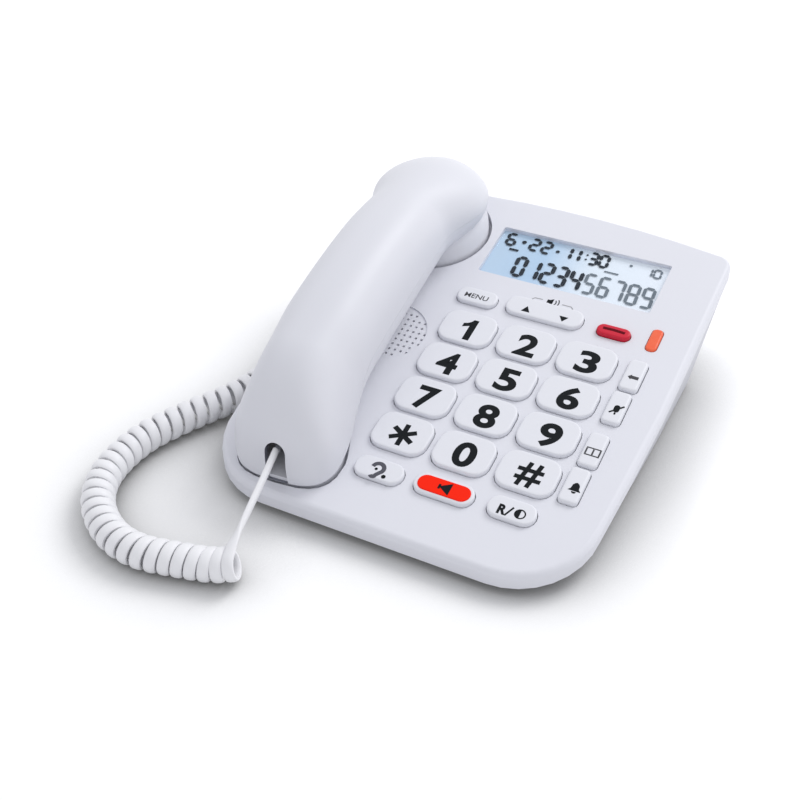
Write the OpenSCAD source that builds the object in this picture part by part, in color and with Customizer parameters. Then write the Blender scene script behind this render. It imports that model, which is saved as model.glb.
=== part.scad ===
/* [Base] */
// Width of the base across the display end
base_w = 178; // [170:1:190]
// Depth of the base from front to rear
base_d = 208; // [206:1:216]
// Height of the deck's front edge above the table
front_h = 11.5; // [11.5:0.1:14]
// Tilt of the deck
tilt = 12; // [10:0.5:14]
// Radius of the two front corners
corner_r = 34; // [26:1:38]
// Radius of the two rear corners
rear_r = 7; // [4:1:12]
// How far each side leans in towards the front
side_lean = 4.2; // [0:0.2:5]
// How far the rear edge falls back at the corners
rear_bow = 8; // [4:0.5:9]
// Rounding of the deck's edge
edge_r = 2.4; // [1:0.2:3]
// Height of the upper housing's skirt
skirt_h = 7; // [6:0.5:8]
// Wall of both base housings
wall = 2.4; // [1.8:0.1:2.6]
// How far the lower housing is drawn in at the sides
undercut = 5; // [2:0.5:6]
// How far the lower housing is drawn in at the front
front_undercut = 6; // [4:0.5:8]
// How far the lower housing is drawn in at the rear
rear_undercut = 31; // [20:1:34]
// Height of the rubber feet
foot_h = 1.5; // [1:0.1:2]
// Radius of a rubber foot
foot_r = 6; // [4:0.5:8]

/* [Keys] */
// Keypad centre, across the deck
pad_x = 20; // [19:0.5:21]
// Keypad centre, up the deck
pad_q = -24; // [-25:0.5:-23]
// Distance between key columns
key_pitch_u = 28.5; // [28.3:0.1:29]
// Distance between key rows
key_pitch_v = 22.5; // [22.4:0.1:23]
// Width of a dialling key
key_w = 25.6; // [22:0.1:25.8]
// Height of a dialling key
key_h = 19.8; // [17:0.1:19.9]
// Corner radius of a dialling key
key_r = 6.5; // [4:0.5:8]
// How far the keys stand out of the deck
key_rise = 2.1; // [1.5:0.1:3]
// Travel of a key
key_travel = 1.2; // [0.8:0.1:1.5]
// Gap between a key and its opening
key_gap = 0.35; // [0.25:0.05:0.4]
// Thickness of a key's retaining flange
flange_t = 1.2; // [1:0.1:1.4]
// Width of a key's retaining flange
flange_w = 0.9; // [0.6:0.1:1]
// Thickness of the rubber membrane
membrane_t = 1.2; // [1:0.1:1.4]
// Thickness of the circuit boards
board_t = 1.6; // [1.2:0.1:1.6]

/* [Display] */
// Width of the display window
lcd_w = 85; // [75:1:88]
// Height of the display window
lcd_h = 34; // [28:1:35]
// Height of the window's centre above the keypad's centre
lcd_v = 90.4; // [89:0.1:91]
// Depth of the lens below the deck
lens_sink = 0.9; // [0.5:0.1:1.1]
// Thickness of the display lens
lens_t = 1.2; // [0.8:0.1:1.4]
// Thickness of the display cell
cell_t = 2.6; // [2:0.1:2.8]

/* [Handset] */
// Length of the handset from the ear cup's centre to the mouth end
hs_front = 171.5; // [168:0.5:173]
// Length of the handset past the ear cup's centre
hs_back = 32.6; // [31:0.1:33]
// Half width of the ear end
ear_r = 28.2; // [27:0.1:30]
// Half width of the grip at its narrowest
waist_r = 20.5; // [20:0.1:23]
// Half width of the mouth end
mouth_r = 23.4; // [23:0.1:24.5]
// Height of the handset's back above the deck at its arch
hs_top = 50.5; // [47:0.5:54]
// Gap between the grip and the deck
grip_gap = 2.5; // [1:0.1:3]
// Radius of the ear cup
cup_r = 28.2; // [26:0.1:28.6]
// How far the ear cup reaches into its well
cup_drop = 4.3; // [3:0.1:4.3]
// How far the mouth cup reaches into its well
mouth_drop = 4.3; // [3:0.1:4.3]
// Wall of the handset shells
hs_wall = 2.2; // [1.6:0.1:2.4]
// Gap round the cups in their wells
well_gap = 1.7; // [1.6:0.1:2]
// Turn of the handset on the deck
hs_yaw = 3; // [2.5:0.1:3.5]
// Width of the cord slot in the mouth end
slot_w = 9.4; // [8.6:0.1:10]

/* [Cord] */
// Outer diameter of the curls
coil_d = 14.3; // [13:0.1:14.3]
// Thickness of the flat cord
cord_t = 2.4; // [2:0.1:2.6]
// Width of the flat cord
cord_w = 4.1; // [3:0.1:4.1]
// Number of curls
curls = 38; // [28:1:38]

/* [Fasteners and fit] */
// Radius of the case screws
screw_r = 1.35; // [1:0.05:1.5]
// Radius of the case screws' heads
head_r = 2.8; // [2.5:0.1:3.2]
// Clearance between pieces that move or fit
fit = 0.3; // [0.2:0.05:0.35]

/* [Hidden] */
$fn = 48;
deck_z = front_h + base_d / 2 * tan(tilt);
hook_travel = 4;
floor_z = foot_h + wall;
shell_white = "ghostwhite";

// ---- general helpers

function smooth(t) = let (u = min(1, max(0, t))) u * u * (3 - 2 * u);
function flip(list) = [for (i = [len(list) - 1:-1:0]) list[i]];
function arc(c, r, a0, a1, n) =
  [for (i = [0:n]) let (a = a0 + (a1 - a0) * i / n) [c.x + r * cos(a), c.y + r * sin(a)]];
function rounded(w, h, r, n = 4) = concat(
  arc([w / 2 - r, h / 2 - r], r, 0, 90, n),
  arc([r - w / 2, h / 2 - r], r, 90, 180, n),
  arc([r - w / 2, r - h / 2], r, 180, 270, n),
  arc([w / 2 - r, r - h / 2], r, 270, 360, n)
);
function at_height(outline, z) = [for (p = outline) [p.x, p.y, z]];

// Closed solid through rings of equally many points, listed from the bottom up.
module loft(rings) {
  n = len(rings[0]);
  m = len(rings);
  side = [
    for (i = [0:m - 2], j = [0:n - 1])
      let (a = i * n + j, b = i * n + (j + 1) % n)
        each [[a, a + n, b + n], [a, b + n, b]]
  ];
  low = [for (j = [1:n - 2]) [0, j, j + 1]];
  high = [for (j = [1:n - 2]) [(m - 1) * n, (m - 1) * n + j + 1, (m - 1) * n + j]];
  polyhedron([for (r = rings) each r], concat(side, low, high));
}

// Places children on the deck: across it, up it, and out of it.
module on_deck(u = 0, v = 0, w = 0) {
  translate([0, 0, deck_z])
    rotate([tilt, 0, 0])
      translate([u, v, w])
        children();
}

module on_pad(u = 0, v = 0, w = 0) {
  on_deck(pad_x + u, pad_q + v, w) children();
}

module plate(w, h, r, low, high) {
  translate([0, 0, low])
    linear_extrude(high - low)
      polygon(rounded(w, h, r));
}

module block(size, low) {
  translate([-size.x / 2, -size.y / 2, low])
    cube(size);
}

// ---- outline of the base, seen from above

lean_y = 35;
corner_y = corner_r - base_d / 2;
function side_x(y, t) =
  base_w / 2 - t - side_lean * pow(max(0, lean_y - y) / (lean_y - corner_y), 2);
function rear_y(x, t) = base_d / 2 - t - rear_bow * pow(x / (base_w / 2), 2);
function half_outline(t) =
  let (
    r = corner_r - t,
    q = max(1, rear_r - t),
    fx = side_x(corner_y, t) - r,
    rx = base_w / 2 - t - q
  )
  concat(
    arc([fx, corner_y], r, -90, 0, 8),
    [for (y = [-40, -5, lean_y]) [side_x(y, t), y]],
    arc([rx, rear_y(rx, t) - q], q, 0, 78, 4),
    [for (x = [60, 40, 20]) [x, rear_y(x, t)]]
  );
function outline(t) =
  let (half = half_outline(t))
  concat(half, [[0, rear_y(0, t)]], [for (p = flip(half)) [-p.x, p.y]]);

// Ring of the outline drawn in by t, lying w above the deck's plane.
function deck_ring(t, w) =
  [for (p = outline(t)) [p.x, p.y, deck_z + p.y * tan(tilt) + w / cos(tilt)]];

// Ring of the lower housing's underside at height z.
function floor_ring(t, z) = [
  for (p = outline(t))
    let (
      k = (p.y + base_d / 2) / base_d,
      front = front_undercut - base_d / 2,
      rear = base_d / 2 - rear_undercut
    )
    [p.x * (1 - undercut / (base_w / 2)), front + k * (rear - front), z]
];

// ---- places on the deck

key_grid = [for (row = [0:3], col = [0:2]) [(col - 1) * key_pitch_u, (1.5 - row) * key_pitch_v]];
menu_at = [-32.8, 54.4];
menu_size = [19.5, 9.6];
rocker_at = [0, 56];
rocker_size = [37, 11.6];
delete_at = [33.4, 55];
delete_size = [15.6, 6.6];
led_at = [51.5, 57.3];
led_size = [5, 14];
side_size = [8.4, 18.4];
side_v = [32.7, 12.6, -12.6, -32.7];
function side_at(i) = [49 + 0.035 * side_v[i], side_v[i]];
boost_at = [-28.7, -55];
boost_size = [22, 10.8];
speaker_at = [0.3, -54];
speaker_size = [26.4, 10.4];
inlay_size = [22, 7];
recall_at = [29.6, -53.4];
recall_size = [20.6, 10.6];
lcd_at = [1.5, lcd_v];

keys = concat(
  [for (p = key_grid) [p, [key_w, key_h], key_r]],
  [
    [menu_at, menu_size, 4],
    [rocker_at, rocker_size, 5],
    [delete_at, delete_size, 3.2],
    for (i = [0:3]) [side_at(i), side_size, 2],
    [boost_at, boost_size, 5],
    [speaker_at, speaker_size, 5],
    [recall_at, recall_size, 5]
  ]
);

// Stack under the deck, measured along the deck's normal.
flange_top = -wall - fit;
flange_low = flange_top - flange_t;
membrane_top = flange_low - key_travel - fit;
board_top = membrane_top - membrane_t - 0.1;
board_low = board_top - board_t;

// ---- handset shape, in its own frame: x across, y along from the ear cup's centre, z out

ear_x = -55.6;
ear_q = 71.2;
module on_handset(w = 0) {
  on_deck(ear_x, ear_q, w)
    rotate([0, 0, hs_yaw])
      children();
}

mouth_len = 18;
mouth_e = 3;
neck_l = 30;
arch_s = -92;
crown_bend = 0.00159;
body_low = grip_gap;
mouth_gap = 0.5;
ear_tip = 9;
mouth_tip = 1;
cap_s = -4;
cap_e = 2.8;
fall_l = 38.5;
fall_e = 2.05;
function hs_half(s) =
  s > 0 ? ear_r * sqrt(max(0, 1 - pow(s / hs_back, 2)))
  : let (
      plain = waist_r + (ear_r - waist_r) * smooth(1 + s / neck_l)
        + (mouth_r - waist_r) * smooth((-s - 122) / 38),
      d = max(0, -s - hs_front + mouth_len) / mouth_len
    )
    plain * pow(max(0, 1 - pow(d, mouth_e)), 1 / mouth_e);
function hs_cap(s) =
  s > cap_s ? pow(max(0, 1 - pow((s - cap_s) / (hs_back - cap_s), cap_e)), 1 / cap_e)
  : s < fall_l - hs_front ? pow(max(0, 1 - pow((fall_l - hs_front - s) / fall_l, fall_e)), 1 / fall_e)
  : 1;
function hs_low_cap(s) =
  let (e = s > arch_s ? (hs_back - s) / 9 : (s + hs_front) / 4)
  e < 1 ? sqrt(max(0, 1 - pow(1 - e, 2))) : 1;
function hs_tip(s) = s > arch_s ? ear_tip : mouth_tip;
function hs_high(s) =
  hs_tip(s) + (hs_top - crown_bend * pow(s - arch_s, 2) - hs_tip(s)) * hs_cap(s);
function hs_low(s) =
  let (low = body_low + (mouth_gap - body_low) * smooth((-s - 120) / 25))
  hs_tip(s) + (low - hs_tip(s)) * hs_low_cap(s);
function hs_mid(s) =
  hs_low(s) + (0.42 - 0.36 * smooth((-s - 110) / 40)) * (hs_high(s) - hs_low(s));
function hs_crown_e(s) = 2.6 - 0.75 * smooth((s + 60) / 60);

stations = 30;
columns = 12;
hs_mid_s = (hs_back - hs_front) / 2;
hs_half_len = (hs_back + hs_front) / 2;
function hs_station(i) = hs_mid_s - hs_half_len * cos(180 * i / stations);
function power(x, e) = sign(x) * pow(abs(x), 2 / e);

// A point of a shell: up is 1 for the back and -1 for the front, k thins it for the inside.
function hs_point(i, j, up, inset) =
  let (
    s = hs_station(i),
    a = 180 * j / columns,
    rise = (up > 0 ? hs_high(s) : hs_low(s)) - hs_mid(s),
    deepest = up > 0 ? 28 : 15,
    e = up > 0 ? hs_crown_e(s) : 2.3
  )
  [
    hs_half(s) * (1 - inset / ear_r) * power(cos(a), e),
    hs_mid_s + (s - hs_mid_s) * (1 - inset / hs_half_len),
    hs_mid(s) + rise * (1 - inset / deepest) * power(sin(a), e) + up * fit / 6
  ];

// One half of the handset's case, with its wall, as one closed surface.
module hs_shell(up, thick) {
  row = columns + 1;
  inner = (stations - 1) * row;
  pole = 2 * inner;
  grid = [
    for (inset = [0, thick], i = [1:stations - 1], j = [0:columns])
      hs_point(i, j, up, inset)
  ];
  poles = [for (inset = [0, thick], i = [0, stations]) hs_point(i, columns / 2, 0, inset)];
  skin = [
    for (i = [0:stations - 3], j = [0:columns - 1])
      let (a = i * row + j)
        each [[a, a + row + 1, a + row], [a, a + 1, a + row + 1]]
  ];
  ends = [
    for (j = [0:columns - 1])
      let (z = (stations - 2) * row + j)
        each [[pole, j + 1, j], [pole + 1, z, z + 1]]
  ];
  last = (stations - 2) * row;
  rim = [
    for (i = [0:stations - 3])
      let (a = i * row, b = i * row + columns)
        each [
          [a, a + row, a + row + inner], [a, a + row + inner, a + inner],
          [b, b + row + inner, b + row], [b, b + inner, b + row + inner]
        ]
  ];
  tips = [
    [pole, 0, inner], [pole, inner, pole + 2],
    [pole, inner + columns, columns], [pole, pole + 2, inner + columns],
    [pole + 1, last + inner, last], [pole + 1, pole + 3, last + inner],
    [pole + 1, last + columns, last + inner + columns],
    [pole + 1, last + inner + columns, pole + 3]
  ];
  inner_skin = [for (f = skin) [f[0] + inner, f[2] + inner, f[1] + inner]];
  inner_ends = [
    for (f = ends)
      [f[0] + 2, f[2] + inner, f[1] + inner]
  ];
  all_faces = concat(skin, ends, inner_skin, inner_ends, rim, tips);
  polyhedron(
    concat(grid, poles),
    up > 0 ? all_faces : [for (f = all_faces) [f[0], f[2], f[1]]]
  );
}

// ---- outline of the mouth cup, g wider than the cup itself

cup_start = hs_front - mouth_len;
cup_rear = -139.5;
cup_inset = 1.2;
mouth_lap = 5;
function mouth_side(g) = [
  [mouth_r - 5.6 + g, cup_rear + g],
  [mouth_r - 3.4 + g, cup_rear - 5.5],
  [mouth_r - 1.9 + g, cup_rear - 10.5],
  for (a = [0:15:75])
    [
      (mouth_r - cup_inset + g) * power(cos(a), mouth_e),
      -cup_start - (mouth_len - cup_inset + g) * power(sin(a), mouth_e)
    ]
];
function mouth_outline(g) = concat(
  flip(mouth_side(g)),
  [for (p = mouth_side(g)) [-p.x, p.y]],
  [[0, -cup_start - (mouth_len - cup_inset + g)]]
);

well_floor = -cup_drop - fit;
well_low = well_floor - wall;
cup_at = [0.6, -1.5, 0];
well_wall = 1.5;
mouth_floor = -mouth_drop - fit;
mouth_low = mouth_floor - 2.2;
hook_s = -12;

// ---- fastenings of the base

front_line = 15 - base_d / 2;
screw_at = [[-18, front_line], [60, front_line], [12 - base_w / 2, 12], [base_w / 2 - 11.5, 55]];
head_h = 1.8;
boss_r = 4.4;
seat_z = 4.4;
boss_top = 6.6;
post_r = 3.4;
screw_top = 10.9;
foot_x = base_w / 2 - 27;
foot_y = base_d / 2 - 34;
foot_at = [[foot_x, -foot_y], [-foot_x, -foot_y], [foot_x + 6, foot_y - 34], [-foot_x - 6, foot_y - 34]];
mic_at = [36, front_line - 1];
mic_r = 3;

// ---- upper housing

grille_at = [-43, -3];
grille_r = 15.5;
grille_pitch = [2.9, 3.3];
grille_hole_r = 0.65;
grille_sink = 0.5;

module deck_skin() {
  loft([
    deck_ring(0, -skirt_h),
    for (a = [0:30:90]) deck_ring(edge_r * (1 - cos(a)), -edge_r * (1 - sin(a)))
  ]);
}

module deck_hollow() {
  loft([deck_ring(wall, -skirt_h - 1), deck_ring(wall, -wall)]);
}

module wells(g, low, mouth_z) {
  on_handset(low)
    translate(cup_at)
      cylinder(h = -low + (g > well_gap ? -1 : 1), r = cup_r + g);
  on_handset(mouth_z)
    linear_extrude(-mouth_z + (g > well_gap ? -1 : 1))
      polygon(mouth_outline(g));
}

module posts() {
  for (p = screw_at)
    translate([p.x, p.y, boss_top + 0.1])
      cylinder(h = deck_z + p.y * tan(tilt) - wall / cos(tilt) + 1.2 - boss_top - 0.1, r = post_r);
}

hook_post_x = 13;
hook_board_top = -22;
module hook_posts() {
  for (x = [-hook_post_x, hook_post_x])
    on_handset(hook_board_top)
      translate([x, hook_s, 0])
        cylinder(h = well_low - hook_board_top + 0.5, r = 3);
}

module upper_housing() {
  color(shell_white)
    difference() {
      union() {
        difference() {
          deck_skin();
          deck_hollow();
        }
        wells(well_gap + well_wall, well_low, mouth_low);
        posts();
        hook_posts();
      }
      wells(well_gap, well_floor, mouth_floor);
      for (k = keys)
        on_pad(k[0].x, k[0].y)
          plate(k[1].x + 2 * key_gap, k[1].y + 2 * key_gap, k[2] + key_gap, -wall - 1, 1);
      on_pad(led_at.x, led_at.y)
        plate(led_size.x + 2 * fit, led_size.y + 2 * fit, 2.4, -wall - 1, 1);
      on_pad(lcd_at.x, lcd_at.y)
        plate(lcd_w, lcd_h, 1.2, -wall - 1, 1);
      on_deck(grille_at.x, grille_at.y, -grille_sink)
        cylinder(h = 1, r = grille_r + 2.5);
      for (i = [-5:5], j = [-4:4])
        if (norm([i * grille_pitch.x, j * grille_pitch.y]) < grille_r)
          on_deck(grille_at.x + i * grille_pitch.x + 2.5, grille_at.y + j * grille_pitch.y, -wall - 1)
            cylinder(h = wall + 2, r = grille_hole_r, $fn = 10);
      for (p = screw_at)
        translate([p.x, p.y, boss_top])
          cylinder(h = screw_top - boss_top + 0.3, r = screw_r + 0.1);
      on_handset(well_low - 1)
        translate([0, hook_s, 0])
          block([8 + 2 * fit, 6 + 2 * fit, wall + 2], 0);
    }
}

// ---- lower housing

battery_l = 44.5;
battery_r = 5.25;
contact_t = 1;
bay_at = [-12, 8];
bay_size = [battery_l + 2 * contact_t + 3 * fit, 6 * battery_r + 4 * fit, 12];
door_t = 1.6;
door_gap = 0.2;
bay_top = foot_h + door_t + bay_size.z;
jack_y = 30;
jack_z = 9.4;
line_x = 40;
line_z = 11.5;
line_face_y = base_d / 2 - rear_undercut - 4.5;

module lower_housing() {
  color(shell_white)
    difference() {
      union() {
        difference() {
          loft([
            floor_ring(1, foot_h),
            floor_ring(0, foot_h + 1),
            deck_ring(0.4, -skirt_h - 0.1)
          ]);
          loft([floor_ring(wall, floor_z), deck_ring(wall + 0.4, -skirt_h + 0.5)]);
        }
        for (p = screw_at)
          translate([p.x, p.y, foot_h])
            cylinder(h = boss_top - foot_h, r = boss_r);
        translate([bay_at.x, bay_at.y, 0])
          block([bay_size.x + 3, bay_size.y + 3, bay_top + 1.5 - foot_h], foot_h);
      }
      for (p = screw_at)
        translate([p.x, p.y, 0]) {
          cylinder(h = seat_z, r = head_r + fit);
          cylinder(h = boss_top + 1, r = screw_r + fit);
        }
      translate([bay_at.x, bay_at.y, 0])
        block([bay_size.x, bay_size.y, bay_top], 0);
      translate([-base_w / 2, jack_y, jack_z - 4])
        translate([-3, -4.6, 0])
          cube([16, 9.2, 8]);
      translate([line_x - 6, line_face_y - 1, line_z - 4.6])
        cube([12, 40, 9.2]);
      translate([mic_at.x, mic_at.y, 0])
        cylinder(h = floor_z + 1, r = 0.8, $fn = 16);
    }
}

// ---- display

module display_lens() {
  color("aliceblue", 0.5)
    on_pad(lcd_at.x, lcd_at.y)
      plate(lcd_w - 2 * fit, lcd_h - 2 * fit, 1, -lens_sink - lens_t, -lens_sink);
}

cell_top = -wall - 0.1;
module display_panel() {
  color("lightskyblue")
    on_pad(lcd_at.x, lcd_at.y)
      block([lcd_w + 2, lcd_h + 3, cell_t], cell_top - cell_t);
}

module display_backlight() {
  color("whitesmoke")
    on_pad(lcd_at.x, lcd_at.y)
      block([lcd_w, lcd_h + 2, cell_top - cell_t - 0.1 - board_top], board_top);
}

module led_lens() {
  color("orangered")
    on_pad(led_at.x, led_at.y) {
      loft([
        at_height(rounded(led_size.x, led_size.y, 2.2), flange_top),
        at_height(rounded(led_size.x, led_size.y, 2.2), 0.2),
        at_height(rounded(led_size.x - 1, led_size.y - 1, 1.7), 0.8)
      ]);
      plate(led_size.x + 2, led_size.y + 2, 2.4, flange_low, flange_top);
    }
}

// ---- keys

module key(i, tint, flange = [flange_w, flange_w]) {
  k = keys[i];
  w = k[1].x;
  h = k[1].y;
  r = k[2];
  color(tint)
    on_pad(k[0].x, k[0].y) {
      loft([
        at_height(rounded(w, h, r), flange_top),
        at_height(rounded(w, h, r), key_rise - 1.1),
        at_height(rounded(w - 0.7, h - 0.7, r - 0.3), key_rise - 0.35),
        at_height(rounded(w - 2.4, h - 2.4, r - 1), key_rise)
      ]);
      plate(w + 2 * flange.x, h + 2 * flange.y, r + min(flange.x, flange.y), flange_low, flange_top);
    }
}

module side_key(i) {
  key(15 + i, shell_white, [flange_w, 0.2]);
}

module key_rocker() {
  k = keys[13];
  color(shell_white)
    on_pad(k[0].x, k[0].y) {
      loft([
        at_height(rounded(k[1].x, k[1].y, k[2]), flange_top),
        at_height(rounded(k[1].x, k[1].y, k[2]), key_rise - 1.1),
        at_height(rounded(k[1].x - 0.7, k[1].y - 0.7, k[2] - 0.3), key_rise - 0.35),
        at_height(rounded(k[1].x - 2.4, k[1].y - 2.4, k[2] - 1), key_rise)
      ]);
      plate(8, k[1].y + 2 * flange_w, 1, flange_low, flange_top);
    }
}

inlay_sink = 1;
module key_speaker() {
  difference() {
    key(20, shell_white);
    on_pad(speaker_at.x, speaker_at.y)
      plate(inlay_size.x + 0.2, inlay_size.y + 0.2, 3.5, key_rise - inlay_sink, key_rise + 2);
  }
}

module speaker_inlay() {
  color("tomato")
    on_pad(speaker_at.x, speaker_at.y)
      loft([
        at_height(rounded(inlay_size.x, inlay_size.y, 3.4), key_rise - inlay_sink + 0.05),
        at_height(rounded(inlay_size.x, inlay_size.y, 3.4), key_rise),
        at_height(rounded(inlay_size.x - 1, inlay_size.y - 1, 2.9), key_rise + 0.4)
      ]);
}

// ---- what lies under the keys

board_left = -20;
board_right = 73.6;
board_front = front_line / cos(tilt) + post_r + 3.6;
board_rear = 85;
module under_keys(rear, low, high) {
  on_deck(board_left, board_front, low)
    cube([board_right - board_left, rear - board_front, high - low]);
}

module keypad_membrane() {
  color("gainsboro")
    under_keys(40, membrane_top - membrane_t, membrane_top);
}

module main_board() {
  color("darkgreen")
    under_keys(board_rear, board_low, board_top);
}

// ---- hook switch, under the ear cup's well

plunger_top = well_floor - 0.1;
plunger_flange = well_low - hook_travel - fit;
switch_top = -17.2;
module hook_plunger() {
  color("gainsboro")
    on_handset()
      translate([0, hook_s, 0]) {
        block([8, 6, plunger_top - plunger_flange + 1.2], plunger_flange - 1.2);
        translate([0, 0, plunger_flange - 1.2])
          cylinder(h = 1.2, r = 7);
        translate([0, 0, switch_top + fit])
          cylinder(h = plunger_flange - switch_top - fit, r = 1.5);
      }
}

module hook_spring() {
  color("silver")
    on_handset(hook_board_top)
      translate([0, hook_s, 0])
        difference() {
          cylinder(h = plunger_flange - 1.2 - fit - hook_board_top, r = 6.2);
          translate([0, 0, -1])
            cylinder(h = 12, r = 5);
        }
}

module hook_switch() {
  color("dimgray")
    on_handset(hook_board_top)
      translate([0, hook_s, 0])
        block([6, 6, switch_top - hook_board_top], 0);
}

module hook_board() {
  color("darkgreen")
    on_handset(hook_board_top - board_t)
      translate([0, hook_s, 0])
        block([2 * hook_post_x + 8, 16, board_t], 0);
}

// ---- sound

module loudspeaker() {
  color("dimgray")
    on_deck(grille_at.x, grille_at.y, 0) {
      translate([0, 0, -wall - fit - 1.5])
        cylinder(h = 1.5, r = 18);
      translate([0, 0, -wall - fit - 4.8])
        cylinder(h = 3.3, r1 = 9.5, r2 = 16.5);
      translate([0, 0, -wall - fit - 9])
        cylinder(h = 4.2, r = 9.5);
    }
}

module base_microphone() {
  color("dimgray")
    translate([mic_at.x, mic_at.y, floor_z + 0.1])
      cylinder(h = 2.6, r = mic_r);
}

// ---- sockets

module line_jack() {
  color("gainsboro")
    translate([line_x, line_face_y - 15, 0])
      difference() {
        translate([-7, 0, floor_z + 0.1])
          cube([14, 15, 14]);
        translate([-4.9, 3, line_z - 3.4])
          cube([9.8, 13, 6.8]);
      }
}

jack_face = 8.5 - base_w / 2;
module handset_jack() {
  color("gainsboro")
    translate([jack_face, jack_y, 0])
      difference() {
        translate([0, -5.6, floor_z + 0.1])
          cube([14, 11.2, 11]);
        translate([-1, -4.1, jack_z - 3.3])
          cube([12.5, 8.2, 6.6]);
      }
}

// ---- underside

module feet() {
  color("dimgray")
    for (p = foot_at)
      translate([p.x, p.y, 0])
        cylinder(h = foot_h, r = foot_r);
}

module case_screws() {
  color("silver")
    for (p = screw_at)
      translate([p.x, p.y, 0]) {
        translate([0, 0, seat_z - head_h])
          cylinder(h = head_h, r = head_r);
        translate([0, 0, seat_z])
          cylinder(h = screw_top - seat_z, r = screw_r);
      }
}

module battery_door() {
  color(shell_white)
    translate([bay_at.x, bay_at.y, 0])
      block([bay_size.x - 2 * door_gap, bay_size.y - 2 * door_gap, door_t], foot_h);
}

battery_z = foot_h + door_t + fit + battery_r;
module batteries() {
  color("goldenrod")
    for (i = [-1:1])
      translate([bay_at.x - battery_l / 2, bay_at.y + i * (2 * battery_r + fit), battery_z])
        rotate([0, 90, 0]) {
          cylinder(h = battery_l - 1, r = battery_r);
          translate([0, 0, battery_l - 1])
            cylinder(h = 1, r = 1.9);
        }
}

module battery_contacts() {
  color("silver")
    for (i = [-1:1], side = [-1, 1])
      translate([bay_at.x + side * (battery_l + contact_t + fit) / 2, bay_at.y + i * (2 * battery_r + fit), battery_z])
        block([contact_t, 8, 8], -4);
}

// ---- handset

slot_x = 1.5;
slot_low = 0.8;
slot_w_mid = 15.8;
socket_face = 13.5 - hs_front;
plug_w = 7.6;
plug_h = 6;
plug_mid = 14.4;
module slot_cut(front, rear) {
  on_handset()
    translate([slot_x, 0, 0]) {
      translate([-slot_w / 2, front, slot_low])
        cube([slot_w, rear - front, slot_w_mid - slot_low]);
      translate([0, rear, slot_w_mid])
        rotate([90, 0, 0])
          cylinder(h = rear - front, r = slot_w / 2);
    }
}

hs_screw_s = [-118, -40];
hs_seat = 8;
module handset_back() {
  color(shell_white)
    difference() {
      union() {
        on_handset() hs_shell(1, hs_wall);
        for (s = hs_screw_s)
          on_handset(hs_mid(s) + 0.2)
            translate([0, s, 0])
              cylinder(h = hs_high(s) - hs_mid(s) - 1.4, r = 3.2);
      }
      for (s = hs_screw_s)
        on_handset(hs_mid(s) - 1)
          translate([0, s, 0])
            cylinder(h = 9, r = screw_r + 0.1);
      slot_cut(socket_face - 20, socket_face);
      on_handset(-1)
        linear_extrude(mouth_lap + 1.1)
          polygon(mouth_outline(0.15));
    }
}

weight_size = [18, 46, 6];
weight_mid = -77;
weight_seat = 7.4;
weight_ribs = [weight_mid - 18, weight_mid, weight_mid + 18];

module handset_front() {
  color(shell_white)
    difference() {
      union() {
        on_handset() hs_shell(-1, hs_wall);
        on_handset(-cup_drop)
          translate(cup_at) {
            cylinder(h = cup_drop + 4, r = cup_r);
            translate([0, 0, cup_drop + 4])
              cylinder(h = 6, r1 = cup_r, r2 = cup_r - 4);
          }
        on_handset(-mouth_drop)
          linear_extrude(mouth_drop + mouth_lap)
            polygon(mouth_outline(0));
        for (s = hs_screw_s)
          on_handset(body_low + 1)
            translate([0, s, 0])
              cylinder(h = hs_mid(s) - body_low - 1.1, r = 4.2);
        for (s = weight_ribs)
          on_handset(weight_seat - 2.8)
            translate([-weight_size.x / 2 + 2, s - 0.8, 0])
              cube([weight_size.x - 4, 1.6, 2.8]);
      }
      on_handset(-cup_drop + hs_wall)
        translate(cup_at)
          cylinder(h = cup_drop + 5, r = cup_r - hs_wall);
      on_handset(-mouth_drop + hs_wall)
        linear_extrude(mouth_drop + 9)
          polygon(mouth_outline(-hs_wall));
      for (s = hs_screw_s)
        on_handset(0)
          translate([0, s, 0]) {
            cylinder(h = hs_seat, r = head_r + fit);
            cylinder(h = 30, r = screw_r + fit);
          }
      for (a = [0:60:300], r = [0, 7])
        if (r > 0 || a == 0)
          on_handset(-cup_drop - 1)
            translate([r * cos(a), r * sin(a), 0])
              cylinder(h = hs_wall + 2, r = 1.1, $fn = 16);
      for (x = [-4, 0, 4])
        on_handset(-mouth_drop - 1)
          translate([x - 9, -156, 0])
            cylinder(h = hs_wall + 2, r = 0.9, $fn = 16);
      slot_cut(socket_face - 20, socket_face);
    }
}

module receiver() {
  color("dimgray")
    on_handset(-cup_drop + hs_wall + 0.1) {
      cylinder(h = 4, r = 17);
      translate([0, 0, 4])
        cylinder(h = 3, r = 9);
    }
}

module handset_microphone() {
  color("dimgray")
    on_handset(-mouth_drop + hs_wall + 0.1)
      translate([-9, -156, 0])
        cylinder(h = 4, r = 4.8);
}

module handset_socket() {
  color("gainsboro")
    difference() {
      on_handset(5.3)
        translate([slot_x - 6.6, socket_face, 0])
          cube([13.2, 15, 16]);
      on_handset(plug_mid - 6)
        translate([slot_x - 4.2, socket_face - 1, 0])
          cube([8.4, 13, 9.6]);
    }
}

module handset_weight() {
  color("silver")
    on_handset(weight_seat + 0.1)
      translate([-weight_size.x / 2, weight_mid - weight_size.y / 2, 0])
        cube(weight_size);
}

module handset_screws() {
  color("silver")
    for (s = hs_screw_s)
      on_handset(hs_seat - head_h)
        translate([0, s, 0]) {
          cylinder(h = head_h, r = head_r);
          cylinder(h = hs_mid(s) + 7 - hs_seat + head_h, r = screw_r);
        }
}

// ---- curly cord

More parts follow.
